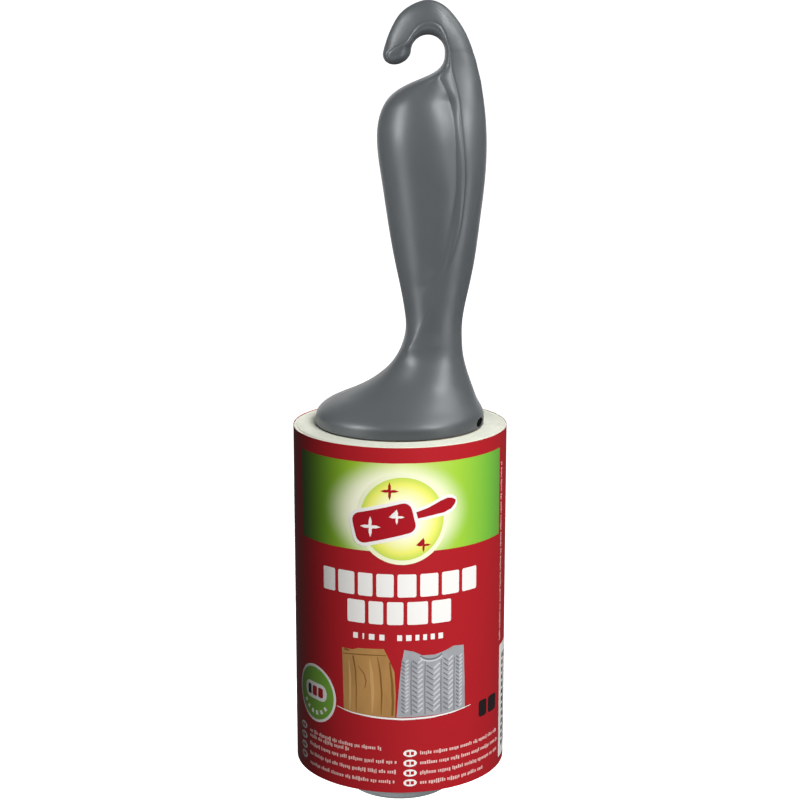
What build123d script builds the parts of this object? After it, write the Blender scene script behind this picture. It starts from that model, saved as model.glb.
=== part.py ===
"""Lint roller: a two-shell handle with a hanging hook, a spindle that turns on an axle, and a sheet refill.

Frame: millimetres, +Z up along the roll's axis, origin on that axis at the flat end of the nose cap.
The front of the roller faces -Y and the open side of the hook faces -X.
"""

from build123d import *
from math import cos, radians, sin
import os

# Refill: one turn of paper for each sheet, wound on a board core, inside a printed wrap
ROLL_LENGTH = 101.6
ROLL_RADIUS = 31.1
WRAP_THICKNESS = 0.12
CORE_BORE_RADIUS = 22.6
CORE_RADIUS = 23.8
SHEET_COUNT = 30
SHEET_THICKNESS = 0.19
PERFORATION_GAP = 0.5
PERFORATION_STEP = 11.0

# Heights along the axis
ROLL_BOTTOM = 9.5
ROLL_TOP = ROLL_BOTTOM + ROLL_LENGTH
CAP_SEAT = ROLL_BOTTOM - 0.3
SKIRT_BOTTOM = ROLL_TOP + 0.3
FLOOR_BOTTOM = ROLL_TOP + 1.6
FLOOR_TOP = FLOOR_BOTTOM + 1.4

# Handle shells
SKIRT_RADIUS = 24.3
SKIRT_BORE_RADIUS = 23.3
RIM_TOP = ROLL_TOP + 3.2
WALL = 1.8
NOTCH_ANGLE = -23.0
NOTCH_WIDTH = 3.8
NOTCH_HEIGHT = 2.4
BOSS_RADIUS = 3.0
PIN_RADIUS = 1.5
PIN_LENGTH = 4.0
PIN_CLEARANCE = 0.1
BOSS_CENTRES = [(9.7, ROLL_TOP + 32.0), (9.7, ROLL_TOP + 52.0), (9.4, ROLL_TOP + 73.0)]

# Handle body: height above the roll, left edge, right edge and half depth of each cross-section
FLARE_SECTIONS = [
    (3.2, -24.3, 24.3, 24.3),
    (4.6, -23.9, 23.9, 23.8),
    (6.6, -21.1, 22.6, 20.9),
    (9.5, -14.5, 21.4, 16.6),
    (12.4, -8.9, 20.4, 13.4),
    (15.4, -4.8, 19.4, 11.3),
    (18.3, -2.1, 18.6, 9.9),
    (22.7, 0.3, 17.9, 8.7),
    (28.5, 1.6, 17.8, 8.2),
]
GRIP_SECTIONS = [
    (36.0, 0.8, 18.9, 8.8),
    (44.0, -0.8, 20.7, 10.0),
    (53.0, -2.6, 22.1, 11.2),
    (63.0, -4.0, 23.3, 12.2),
    (73.0, -5.5, 24.3, 12.9),
    (81.5, -6.5, 24.4, 12.9),
    (87.0, -6.1, 24.1, 11.7),
]
SHOULDER_SECTIONS = [
    (92.5, -3.9, 23.5, 9.9),
    (96.4, 1.2, 22.9, 8.1),
    (99.4, 7.8, 22.2, 6.3),
    (102.6, 11.8, 21.4, 4.9),
    (105.85, 12.45, 20.4, 4.4),
]
FLARE_DROP = 1.6

# Hook: a bar bent round its eye, each cross-section at an angle from +X, and a round tip
EYE_CENTRE = Vector(7.75, 0, ROLL_TOP + 105.85)
EYE_RADIUS = 4.7
HOOK_SECTIONS = [
    (0, 12.65, 4.4),
    (22, 11.9, 4.4),
    (45, 12.1, 4.4),
    (67, 13.3, 4.4),
    (90, 14.3, 4.4),
    (113, 13.7, 4.3),
    (135, 12.5, 4.1),
    (158, 12.0, 3.9),
    (180, 12.3, 3.8),
]
HOOK_TIP_RADIUS = 3.8

# Axle and its push-on clip
AXLE_RADIUS = 5.0
AXLE_BOTTOM = 8.4
AXLE_TOP = ROLL_TOP + 10.4
AXLE_TIP_CHAMFER = 0.9
COLLAR_RADIUS = 6.6
COLLAR_BOTTOM = FLOOR_TOP + 1.6
COLLAR_HEIGHT = 2.2
HUB_RADIUS = 8.6
HUB_BOTTOM = FLOOR_BOTTOM - 0.1
HOLD_CLEARANCE = 0.05
CLIP_RADIUS = 7.4
CLIP_THICKNESS = 0.5
CLIP_TOP = 11.5
CLIP_SLOTS = 6

# Spindle cage
BEARING_CLEARANCE = 0.06
CAGE_HUB_RADIUS = 7.3
CAGE_HUB_BOTTOM = 11.7
CAGE_RADIUS = 22.5
CAGE_BORE_RADIUS = 20.9
FIN_COUNT = 6
FIN_THICKNESS = 1.4
FIN_BOTTOM = 17.0
FLANGE_RADIUS = 23.0
FLANGE_BOTTOM = ROLL_TOP + 0.05
CAGE_TOP = ROLL_TOP + 1.3
WINDOW_WIDTH = 13.6
WINDOW_BOTTOM = 24.0
WINDOW_TOP = ROLL_TOP - 10.0
WINDOW_RADIUS = 3.0
FINGER_WIDTH = 6.4
FINGER_TOP = 66.0
FINGER_SETBACK = 0.35
FINGER_PAD = 5.0

# Nose cap
CAP_RADIUS = 22.4
CAP_SHOULDER_RADIUS = 16.5
CAP_SHOULDER_HEIGHT = 3.5
CAP_EDGE_RADIUS = 3.0
CAP_WALL = 1.5
CAP_SNAP_RADIUS = 20.6
CAP_SNAP_TOP = 15.4
CAP_BEAD_RADIUS = 20.82
CAP_BEAD_HEIGHT = 13.4

os.makedirs("parts", exist_ok=True)


def radial_plane(angle, radius, height):
    """A plane that faces outwards from the axis, with its second direction up."""
    outward = Vector(cos(radians(angle)), sin(radians(angle)), 0)
    tangent = Vector(-sin(radians(angle)), cos(radians(angle)), 0)
    return Plane(origin=outward * radius + Vector(0, 0, height), x_dir=tangent, z_dir=outward)


def hook_plane(angle, radius):
    """A plane across the hook's bar, centred on the bar, with its first direction away from the eye."""
    outward = Vector(cos(radians(angle)), 0, sin(radians(angle)))
    along = Vector(-sin(radians(angle)), 0, cos(radians(angle)))
    return Plane(origin=EYE_CENTRE + outward * radius, x_dir=outward, z_dir=along)


# ---------------------------------------------------------------- handle, outside
with BuildPart() as handle_form:
    for height, left, right, half_depth in FLARE_SECTIONS + GRIP_SECTIONS + SHOULDER_SECTIONS:
        with BuildSketch(Plane.XY.offset(ROLL_TOP + height)):
            with Locations(((left + right) / 2, 0)):
                Ellipse((right - left) / 2, half_depth)
    loft()
    with BuildSketch(Plane.XY.offset(SKIRT_BOTTOM)):
        Circle(SKIRT_RADIUS)
    extrude(amount=RIM_TOP - SKIRT_BOTTOM)

with BuildPart() as hook_form:
    for angle, outer_radius, half_depth in HOOK_SECTIONS:
        with BuildSketch(hook_plane(angle, (outer_radius + EYE_RADIUS) / 2)):
            Ellipse((outer_radius - EYE_RADIUS) / 2, half_depth)
    loft()
    with Locations(hook_plane(180, EYE_RADIUS + HOOK_TIP_RADIUS)):
        Sphere(HOOK_TIP_RADIUS, arc_size1=0, arc_size2=90)

with BuildPart() as handle_outside:
    add(handle_form.part)
    add(hook_form.part)
    notch_plane = radial_plane(NOTCH_ANGLE, SKIRT_BORE_RADIUS - 1.0, SKIRT_BOTTOM)
    with BuildSketch(notch_plane):
        SlotOverall(2 * NOTCH_HEIGHT, NOTCH_WIDTH, rotation=90)
    extrude(amount=SKIRT_RADIUS - SKIRT_BORE_RADIUS + 3.0, mode=Mode.SUBTRACT)

# ---------------------------------------------------------------- handle, inside
with BuildPart() as axle:
    with BuildSketch(Plane.XY.offset(AXLE_BOTTOM)):
        Circle(AXLE_RADIUS)
    extrude(amount=AXLE_TOP - AXLE_BOTTOM)
    chamfer(axle.edges().sort_by(Axis.Z)[0], length=AXLE_TIP_CHAMFER)
    with BuildSketch(Plane.XY.offset(COLLAR_BOTTOM)):
        Circle(COLLAR_RADIUS)
    extrude(amount=COLLAR_HEIGHT)
axle.part.label = "axle"

with BuildPart() as axle_socket:
    with BuildSketch(Plane.XY.offset(HUB_BOTTOM)):
        Circle(AXLE_RADIUS + HOLD_CLEARANCE)
    extrude(amount=AXLE_TOP + HOLD_CLEARANCE - HUB_BOTTOM)
    with BuildSketch(Plane.XY.offset(COLLAR_BOTTOM - HOLD_CLEARANCE)):
        Circle(COLLAR_RADIUS + HOLD_CLEARANCE)
    extrude(amount=COLLAR_HEIGHT + 2 * HOLD_CLEARANCE)

with BuildPart() as handle_cavity:
    for height, left, right, half_depth in FLARE_SECTIONS[2::2]:
        with BuildSketch(Plane.XY.offset(ROLL_TOP + height - FLARE_DROP)):
            with Locations(((left + right) / 2, 0)):
                Ellipse((right - left) / 2 - WALL, half_depth - WALL)
    for height, left, right, half_depth in GRIP_SECTIONS[1::2]:
        with BuildSketch(Plane.XY.offset(ROLL_TOP + height)):
            with Locations(((left + right) / 2, 0)):
                Ellipse((right - left) / 2 - WALL, half_depth - WALL)
    loft()
    with BuildSketch(Plane.XY.offset(ROLL_TOP)):
        Circle(HUB_RADIUS)
    extrude(amount=AXLE_TOP + WALL - ROLL_TOP, mode=Mode.SUBTRACT)
    for x, height in BOSS_CENTRES:
        with BuildSketch(Plane.XZ):
            with Locations((x, height)):
                Circle(BOSS_RADIUS)
        extrude(amount=SKIRT_RADIUS, both=True, mode=Mode.SUBTRACT)

with BuildPart() as handle_blank:
    add(handle_outside.part)
    add(handle_cavity.part, mode=Mode.SUBTRACT)
    add(axle_socket.part, mode=Mode.SUBTRACT)
    with BuildSketch(Plane.XY.offset(SKIRT_BOTTOM)):
        Circle(SKIRT_BORE_RADIUS)
        Circle(HUB_RADIUS, mode=Mode.SUBTRACT)
    extrude(amount=FLOOR_BOTTOM - SKIRT_BOTTOM, mode=Mode.SUBTRACT)
    with BuildSketch(Plane.XY.offset(SKIRT_BOTTOM)):
        Circle(HUB_RADIUS)
    extrude(amount=HUB_BOTTOM - SKIRT_BOTTOM, mode=Mode.SUBTRACT)

# ---------------------------------------------------------------- handle shells
with BuildPart() as handle_front_shell:
    add(handle_blank.part)
    split(bisect_by=Plane.XZ, keep=Keep.TOP)
    for x, height in BOSS_CENTRES:
        with BuildSketch(Plane.XZ):
            with Locations((x, height)):
                Circle(PIN_RADIUS)
        extrude(amount=-PIN_LENGTH)
handle_front_shell.part.label = "handle_front_shell"

with BuildPart() as handle_rear_shell:
    add(handle_blank.part)
    split(bisect_by=Plane.XZ, keep=Keep.BOTTOM)
    for x, height in BOSS_CENTRES:
        with BuildSketch(Plane.XZ):
            with Locations((x, height)):
                Circle(PIN_RADIUS + PIN_CLEARANCE)
        extrude(amount=-(PIN_LENGTH + PIN_CLEARANCE), mode=Mode.SUBTRACT)
handle_rear_shell.part.label = "handle_rear_shell"

# ---------------------------------------------------------------- axle clip
with BuildPart() as axle_clip:
    with BuildSketch(Plane.XY.offset(CLIP_TOP - CLIP_THICKNESS)):
        Circle(CLIP_RADIUS)
        Circle(AXLE_RADIUS, mode=Mode.SUBTRACT)
        with PolarLocations(AXLE_RADIUS + 0.6, CLIP_SLOTS):
            SlotOverall(1.8, 0.7, mode=Mode.SUBTRACT)
    extrude(amount=CLIP_THICKNESS)
axle_clip.part.label = "axle_clip"

# ---------------------------------------------------------------- spindle cage
with BuildPart() as spindle_cage:
    with BuildSketch(Plane.XY.offset(CAP_SEAT)):
        Circle(CAGE_RADIUS)
        Circle(CAGE_BORE_RADIUS, mode=Mode.SUBTRACT)
    extrude(amount=CAGE_TOP - CAP_SEAT)
    for index in range(FIN_COUNT):
        with BuildSketch(radial_plane(index * 360 / FIN_COUNT, 0, 0)):
            with Locations((0, (WINDOW_TOP + WINDOW_BOTTOM) / 2)):
                RectangleRounded(WINDOW_WIDTH, WINDOW_TOP - WINDOW_BOTTOM, WINDOW_RADIUS)
        extrude(amount=SKIRT_RADIUS, mode=Mode.SUBTRACT)
    for index in range(FIN_COUNT):
        with BuildSketch(radial_plane((index + 0.5) * 360 / FIN_COUNT, 0, 0)):
            with Locations((0, (CAGE_TOP + FIN_BOTTOM) / 2)):
                Rectangle(FIN_THICKNESS, CAGE_TOP - FIN_BOTTOM)
        extrude(amount=CAGE_BORE_RADIUS + 0.3)
    with BuildSketch(Plane.XY.offset(CAGE_HUB_BOTTOM)):
        Circle(CAGE_HUB_RADIUS)
    extrude(amount=CAGE_TOP - CAGE_HUB_BOTTOM)
    with BuildSketch(Plane.XY.offset(FLANGE_BOTTOM)):
        Circle(FLANGE_RADIUS)
    extrude(amount=CAGE_TOP - FLANGE_BOTTOM)
    for index in range(0, FIN_COUNT, 2):
        with BuildSketch(radial_plane(index * 360 / FIN_COUNT, CAGE_BORE_RADIUS, 0)):
            with Locations((0, (FINGER_TOP + WINDOW_BOTTOM) / 2 - 2)):
                RectangleRounded(FINGER_WIDTH, FINGER_TOP - WINDOW_BOTTOM + 4, 1.5)
        extrude(amount=CAGE_RADIUS - CAGE_BORE_RADIUS - FINGER_SETBACK)
    with BuildSketch(Plane.XY.offset(CAP_SEAT)):
        Circle(AXLE_RADIUS + BEARING_CLEARANCE)
    extrude(amount=CAGE_TOP - CAP_SEAT, mode=Mode.SUBTRACT)
spindle_cage.part.label = "spindle_cage"

# ---------------------------------------------------------------- nose cap
with BuildPart() as nose_cap:
    with BuildSketch(Plane.XZ):
        with BuildLine():
            edge_start = CAP_SHOULDER_RADIUS - CAP_EDGE_RADIUS
            Line((0, 0), (edge_start, 0))
            CenterArc((edge_start, CAP_EDGE_RADIUS), CAP_EDGE_RADIUS, -90, 90)
            Polyline(
                (CAP_SHOULDER_RADIUS, CAP_EDGE_RADIUS),
                (CAP_SHOULDER_RADIUS, CAP_SHOULDER_HEIGHT),
                (CAP_RADIUS, CAP_SEAT),
                (CAP_SNAP_RADIUS, CAP_SEAT),
                (CAP_SNAP_RADIUS, CAP_BEAD_HEIGHT - 0.8),
                (CAP_BEAD_RADIUS, CAP_BEAD_HEIGHT),
                (CAP_SNAP_RADIUS, CAP_BEAD_HEIGHT + 0.8),
                (CAP_SNAP_RADIUS, CAP_SNAP_TOP),
                (CAP_SNAP_RADIUS - CAP_WALL, CAP_SNAP_TOP),
                (CAP_SNAP_RADIUS - CAP_WALL, CAP_SEAT - 0.6),
                (CAP_SHOULDER_RADIUS - CAP_WALL, CAP_SHOULDER_HEIGHT + 0.6),
                (CAP_SHOULDER_RADIUS - CAP_WALL, CAP_WALL),
                (0, CAP_WALL),
                (0, 0),
            )
        make_face()
    revolve(axis=Axis.Z)
nose_cap.part.label = "nose_cap"

# ---------------------------------------------------------------- refill
with BuildPart() as core_tube:
    with BuildSketch(Plane.XY.offset(ROLL_BOTTOM)):
        Circle(CORE_RADIUS)
        Circle(CORE_BORE_RADIUS, mode=Mode.SUBTRACT)
    extrude(amount=ROLL_LENGTH)
core_tube.part.label = "core_tube"

wrap_bore_radius = ROLL_RADIUS - WRAP_THICKNESS
sheet_pitch = (wrap_bore_radius - CORE_RADIUS) / SHEET_COUNT
sheet_clearance = (sheet_pitch - SHEET_THICKNESS) / 2
sheets = []
for number in range(1, SHEET_COUNT + 1):
    inner_radius = CORE_RADIUS + (number - 1) * sheet_pitch + sheet_clearance
    with BuildPart() as sheet:
        with BuildSketch(Plane.XY.offset(ROLL_BOTTOM)):
            Circle(inner_radius + SHEET_THICKNESS)
            Circle(inner_radius, mode=Mode.SUBTRACT)
            with PolarLocations(inner_radius, 1, start_angle=number * PERFORATION_STEP):
                Rectangle(2.0, PERFORATION_GAP, mode=Mode.SUBTRACT)
        extrude(amount=ROLL_LENGTH)
    sheet.part.label = f"sheet_{number:02d}"
    sheets.append(sheet)

with BuildPart() as printed_wrap:
    with BuildSketch(Plane.XY.offset(ROLL_BOTTOM)):
        Circle(ROLL_RADIUS)
        Circle(wrap_bore_radius, mode=Mode.SUBTRACT)
    extrude(amount=ROLL_LENGTH)
printed_wrap.part.label = "printed_wrap"

# ---------------------------------------------------------------- export
pieces = [handle_front_shell, handle_rear_shell, axle, axle_clip, spindle_cage, nose_cap, core_tube]
for piece in pieces + sheets + [printed_wrap]:
    export_step(piece.part, f"parts/{piece.part.label}.step")
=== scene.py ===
"""Lint roller: the visible surfaces, materials, floor, light and camera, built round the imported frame.

Lengths are in millimetres inside the functions that draw a shape, and MM turns them into metres.
+Z runs up the roll's axis, the front of the printed wrap faces -Y, and the hook opens towards -X.
"""

import math

import bmesh
import bpy
import numpy as np
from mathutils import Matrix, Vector


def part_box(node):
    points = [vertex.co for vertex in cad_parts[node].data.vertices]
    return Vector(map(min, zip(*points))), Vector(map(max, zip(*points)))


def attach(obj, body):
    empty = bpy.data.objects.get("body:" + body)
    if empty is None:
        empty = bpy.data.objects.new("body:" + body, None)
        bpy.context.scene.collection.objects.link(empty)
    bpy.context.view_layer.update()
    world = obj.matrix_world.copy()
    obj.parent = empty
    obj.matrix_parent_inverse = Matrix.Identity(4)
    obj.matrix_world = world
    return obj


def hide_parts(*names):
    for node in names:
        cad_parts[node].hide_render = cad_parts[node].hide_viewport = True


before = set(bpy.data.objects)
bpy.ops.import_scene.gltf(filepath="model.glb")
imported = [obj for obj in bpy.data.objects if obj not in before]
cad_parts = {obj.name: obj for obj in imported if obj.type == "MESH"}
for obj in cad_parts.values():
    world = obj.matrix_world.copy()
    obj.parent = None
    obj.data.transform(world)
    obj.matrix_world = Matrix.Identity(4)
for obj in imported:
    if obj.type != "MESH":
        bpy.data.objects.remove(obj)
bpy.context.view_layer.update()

MM = 0.001
ROLL_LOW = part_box("core_tube")[0].z / MM
ROLL_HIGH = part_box("core_tube")[1].z / MM
ROLL_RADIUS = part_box("printed_wrap")[1].x / MM
SKIRT_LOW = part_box("handle_rear_shell")[0].z / MM
CORE_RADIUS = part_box("core_tube")[1].x / MM
SKIRT_RADIUS = 24.3
SKIRT_TOP = 20.0


# -------- small helpers
def spline(knots, values):
    """A natural cubic spline through the given values, as a function of an array."""
    x, y = knots, values
    gap = np.diff(x)
    size = len(x)
    system = np.eye(size)
    right = np.zeros(size)
    for i in range(1, size - 1):
        system[i, i - 1:i + 2] = gap[i - 1], 2 * (gap[i - 1] + gap[i]), gap[i]
        right[i] = 6 * ((y[i + 1] - y[i]) / gap[i] - (y[i] - y[i - 1]) / gap[i - 1])
    bend = np.linalg.solve(system, right)

    def evaluate(at):
        at = np.clip(np.asarray(at, float), x[0], x[-1])
        i = np.clip(np.searchsorted(x, at) - 1, 0, size - 2)
        low = x[i + 1] - at
        high = at - x[i]
        cubic = (bend[i] * low**3 + bend[i + 1] * high**3) / (6 * gap[i])
        linear = (y[i] / gap[i] - bend[i] * gap[i] / 6) * low
        return cubic + linear + (y[i + 1] / gap[i] - bend[i + 1] * gap[i] / 6) * high

    return evaluate


def splines(table):
    """A spline for each column of a table against its first column."""
    table = np.array(table, float)
    return [spline(table[:, 0], column) for column in table.T[1:]]


def smooth_step(low, high, at):
    """Rise smoothly from 0 at low to 1 at high."""
    t = np.clip((np.asarray(at, float) - low) / (high - low), 0, 1)
    return t * t * (3 - 2 * t)


def make_object(name, points, faces, smooth=True):
    """A mesh object from points in millimetres."""
    mesh = bpy.data.meshes.new(name)
    mesh.from_pydata([tuple(p) for p in np.asarray(points, float) * MM], [], [tuple(f) for f in faces])
    mesh.validate()
    mesh.update()
    if smooth:
        mesh.shade_smooth()
    piece = bpy.data.objects.new(name, mesh)
    bpy.context.scene.collection.objects.link(piece)
    return piece


def sharpen(piece, degrees):
    """Keep edges sharper than an angle crisp while the rest of the piece shades smoothly."""
    edit = bmesh.new()
    edit.from_mesh(piece.data)
    bmesh.ops.recalc_face_normals(edit, faces=edit.faces)
    for edge in edit.edges:
        if len(edge.link_faces) == 2:
            edge.smooth = edge.calc_face_angle() < math.radians(degrees)
    edit.to_mesh(piece.data)
    edit.free()


def weld(piece, reach):
    """Join points nearer than reach, in metres, and drop what that leaves without area."""
    edit = bmesh.new()
    edit.from_mesh(piece.data)
    bmesh.ops.remove_doubles(edit, verts=edit.verts, dist=reach)
    bmesh.ops.dissolve_degenerate(edit, edges=edit.edges, dist=1e-7)
    edit.to_mesh(piece.data)
    edit.free()


def grid_faces(rows, columns, wrap_rows=False, wrap_columns=False):
    """Quads between neighbouring points of a grid stored row by row."""
    faces = []
    for r in range(rows if wrap_rows else rows - 1):
        for c in range(columns if wrap_columns else columns - 1):
            r2 = (r + 1) % rows
            c2 = (c + 1) % columns
            faces.append((r * columns + c, r * columns + c2, r2 * columns + c2, r2 * columns + c))
    return faces


def spoke(profile, angle):
    """The points of a (radius, height) profile at one angle about the axis."""
    return [(radius * math.cos(angle), radius * math.sin(angle), height) for radius, height in profile]


def revolve(profile, segments):
    """The points of a profile at each step of a turn about the axis."""
    angles = np.linspace(0, 2 * math.pi, segments, endpoint=False)
    return [point for angle in angles for point in spoke(profile, angle)]


def lathe(name, profile, segments=192):
    """Turn a closed profile of (radius, height) points about the axis."""
    faces = grid_faces(segments, len(profile), wrap_rows=True, wrap_columns=True)
    piece = make_object(name, revolve(profile, segments), faces)
    weld(piece, 1e-7)
    return piece


def arc_points(centre, radius, start, end, count):
    """Points along an arc in the profile plane, angles in degrees."""
    angles = np.radians(np.linspace(start, end, count))
    return [(centre[0] + radius * math.cos(a), centre[1] + radius * math.sin(a)) for a in angles]


# -------- materials
# Where most of a noise texture's values lie, and the usual roughness of printed film
CLOUD_RANGE = (0.3, 0.7)
PRINT_ROUGH = 0.34


class Shader:
    """A material's node tree with short ways to add and join nodes."""

    def __init__(self, name):
        self.material = bpy.data.materials.new(name)
        self.material.use_nodes = True
        self.tree = self.material.node_tree
        self.surface = self.tree.nodes["Principled BSDF"]

    def node(self, kind):
        return self.tree.nodes.new(kind)

    def join(self, source, target):
        self.tree.links.new(source, target)

    def set(self, socket, value):
        self.surface.inputs[socket].default_value = value

    def place(self):
        """Position on the object, in metres."""
        return self.node("ShaderNodeTexCoord").outputs["Object"]

    def noise(self, scale, detail=3.0, stretch=(1, 1, 1)):
        mapping = self.node("ShaderNodeMapping")
        mapping.inputs["Scale"].default_value = stretch
        self.join(self.place(), mapping.inputs["Vector"])
        noise = self.node("ShaderNodeTexNoise")
        noise.inputs["Scale"].default_value = scale
        noise.inputs["Detail"].default_value = detail
        self.join(mapping.outputs["Vector"], noise.inputs["Vector"])
        return noise.outputs["Fac"]

    def remap(self, source, old_range, new_range=(0.0, 1.0), shape="LINEAR"):
        """Map one range of a value onto another."""
        node = self.node("ShaderNodeMapRange")
        node.interpolation_type = shape
        node.inputs["From Min"].default_value, node.inputs["From Max"].default_value = old_range
        node.inputs["To Min"].default_value, node.inputs["To Max"].default_value = new_range
        self.join(source, node.inputs["Value"])
        return node.outputs["Result"]

    def vector(self, operation, source, value=(0, 0, 0)):
        """The outputs of a vector operation on a source and a fixed value."""
        node = self.node("ShaderNodeVectorMath")
        node.operation = operation
        self.join(source, node.inputs[0])
        node.inputs[1].default_value = value
        return node.outputs

    def ramp(self, source, stops):
        node = self.node("ShaderNodeValToRGB")
        ramp = node.color_ramp
        while len(ramp.elements) < len(stops):
            ramp.elements.new(0.5)
        for element, (position, colour) in zip(ramp.elements, stops):
            element.position = position
            element.color = (*colour, 1)
        self.join(source, node.inputs["Fac"])
        return node.outputs["Color"]

    def paint(self, source, stops):
        """Colour the surface by a ramp."""
        self.join(self.ramp(source, stops), self.surface.inputs["Base Color"])

    def gloss(self, cloud, low, high):
        """Let the roughness wander between two values with a noise cloud."""
        self.join(self.remap(cloud, CLOUD_RANGE, (low, high)), self.surface.inputs["Roughness"])

    def bump(self, source, strength, distance):
        node = self.node("ShaderNodeBump")
        node.inputs["Strength"].default_value = strength
        node.inputs["Distance"].default_value = distance
        self.join(source, node.inputs["Height"])
        self.join(node.outputs["Normal"], self.surface.inputs["Normal"])


def srgb(red, green, blue):
    """A colour given as 0 to 255 display values, in linear light."""
    values = np.array([red, green, blue], float) / 255
    linear = np.where(values <= 0.04045, values / 12.92, ((values + 0.055) / 1.055) ** 2.4)
    return tuple(float(v) for v in linear)


def shade(colour, factor):
    return tuple(float(min(1.0, c * factor)) for c in colour)


def moulded_plastic(name, colour, low_rough, high_rough, ior=1.5):
    """Satin moulded plastic: a fine spark-eroded texture and slightly uneven gloss."""
    shader = Shader(name)
    shader.paint(shader.noise(45, 2), [(0.35, shade(colour, 0.97)), (0.65, shade(colour, 1.03))])
    shader.gloss(shader.noise(160, 3), low_rough, high_rough)
    shader.bump(shader.noise(5200, 2), 0.25, 0.000012)
    shader.set("IOR", ior)
    return shader.material


def paper(name, colour):
    """Matt paper with a soft fibre cloud."""
    shader = Shader(name)
    fibre = shader.noise(900, 4, (1, 1, 4))
    shader.paint(fibre, [(0.3, shade(colour, 0.95)), (0.7, shade(colour, 1.02))])
    shader.bump(fibre, 0.15, 0.00003)
    shader.set("Roughness", 1.0)
    return shader.material


def board(name, colour):
    """Grey-brown core board: coarse fibre and flecks."""
    shader = Shader(name)
    fleck = shader.noise(1300, 5, (1, 1, 0.25))
    shader.paint(fleck, [(0.25, shade(colour, 0.7)), (0.5, colour), (0.8, shade(colour, 1.25))])
    shader.bump(fleck, 0.4, 0.00005)
    shader.set("Roughness", 0.9)
    return shader.material


def spring_steel(name):
    """Plain zinc-plated spring steel with a faint rolled grain."""
    shader = Shader(name)
    grain = shader.noise(700, 4, (12, 1, 1))
    shader.paint(grain, [(0.3, (0.5, 0.5, 0.52)), (0.7, (0.66, 0.66, 0.68))])
    shader.gloss(grain, 0.28, 0.42)
    shader.bump(grain, 0.15, 0.00001)
    shader.set("Metallic", 1.0)
    return shader.material


def ink(name, display_colour):
    """Print on film: even ink with a faint pull of the wrap's tension in its gloss."""
    shader = Shader(name)
    colour = srgb(*display_colour)
    tension = shader.noise(30, 3, (1, 1, 0.35))
    shader.paint(tension, [(0.3, shade(colour, 0.97)), (0.7, shade(colour, 1.03))])
    shader.gloss(tension, PRINT_ROUGH - 0.03, PRINT_ROUGH + 0.04)
    shader.bump(tension, 0.12, 0.00006)
    shader.set("IOR", 1.46)
    shader.set("Specular IOR Level", 0.4)
    return shader.material


def dress(piece, material):
    """Give a piece or a CAD node one material."""
    piece.data.materials.clear()
    piece.data.materials.append(material)
    return piece


# -------- handle
# Height above the roll's end, left edge, right edge and half depth of the grip
OUTLINE = [
    (2.0, -24.3, 24.3, 24.3), (3.4, -24.2, 24.2, 24.2), (4.9, -23.2, 23.6, 23.0),
    (6.5, -21.2, 22.7, 20.8), (9.5, -14.5, 21.45, 16.6), (12.4, -8.9, 20.4, 13.5),
    (15.4, -4.8, 19.4, 11.4), (18.3, -2.06, 18.6, 9.9), (21.3, -0.23, 18.05, 9.0),
    (24.2, 0.9, 17.85, 8.5), (28.5, 1.65, 17.8, 8.2), (33.0, 1.3, 18.3, 8.4),
    (38.8, 0.3, 19.5, 9.1), (47.4, -1.5, 21.2, 10.4), (58.8, -3.5, 22.7, 11.8),
    (70.2, -5.2, 24.0, 12.75), (78.0, -6.3, 24.4, 12.9), (84.2, -6.46, 24.3, 12.3),
    (89.7, -5.3, 23.85, 10.6), (93.5, -3.0, 23.35, 8.9), (96.0, 0.2, 22.95, 7.7),
    (98.0, 4.4, 22.6, 6.9), (100.0, 9.0, 22.1, 6.3), (102.0, 11.45, 21.6, 5.5),
    (103.8, 12.3, 21.15, 4.9), (105.85, 12.45, 20.4, 4.5),
]
# Height and place of the crease on the spine's side, and of the one on the bulb's side
SPINE_CREASE = [
    (22.9, 2.3), (26.4, 4.3), (31.6, 7.2), (36.0, 8.7), (40.3, 10.5), (46.1, 13.0), (51.8, 15.0),
    (57.3, 16.5), (63.4, 17.4), (69.5, 17.9), (76.0, 17.9), (84.0, 17.2), (90.0, 16.6), (95.5, 15.8),
    (99.8, 14.6), (103.0, 14.1), (105.85, 13.95),
]
BULB_CREASE = [
    (36.0, 8.2), (40.3, 9.9), (46.0, 11.9), (51.0, 13.1), (57.3, 14.0), (63.4, 14.9), (69.5, 15.5),
    (78.7, 15.4), (84.3, 15.2), (89.9, 14.4), (92.7, 13.7), (95.5, 12.7), (99.8, 10.5), (105.85, 10.0),
]
# Height, depth of the spine's arc, its lean at the crease, and how far the inner arc runs, in degrees
SPINE = [
    (24.2, 8.5, -32, 60), (28.5, 8.2, -12, 68), (33.0, 8.4, -5, 78), (38.8, 9.05, 0, 90),
    (43.0, 9.8, 7, 98), (47.0, 10.5, 12, 103), (55.0, 10.9, 13, 106), (63.0, 10.7, 14, 110),
    (70.0, 10.5, 14, 110), (75.6, 10.2, 14, 110), (84.0, 9.2, 18, 110), (90.0, 7.7, 21, 108),
    (92.7, 7.0, 22, 106), (95.5, 6.4, 23, 104), (99.8, 5.6, 24, 104), (102.0, 5.2, 24, 104),
    (105.85, 4.8, 24, 104),
]
# Height, share of the bulb's width up to its knee, and the bulb's lean at the knee and at the crease
BULB = [
    (36.0, 0.90, 2, 5), (47.0, 0.90, 10, 14), (55.0, 0.92, 18, 22), (63.0, 0.94, 24, 28),
    (70.0, 0.92, 25, 31), (75.6, 0.893, 26, 33), (84.0, 0.857, 26, 36), (90.0, 0.83, 26, 37),
    (92.7, 0.80, 24, 34), (95.5, 0.83, 16, 26), (99.8, 0.85, 6, 16), (105.85, 0.85, 5, 16),
]
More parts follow.
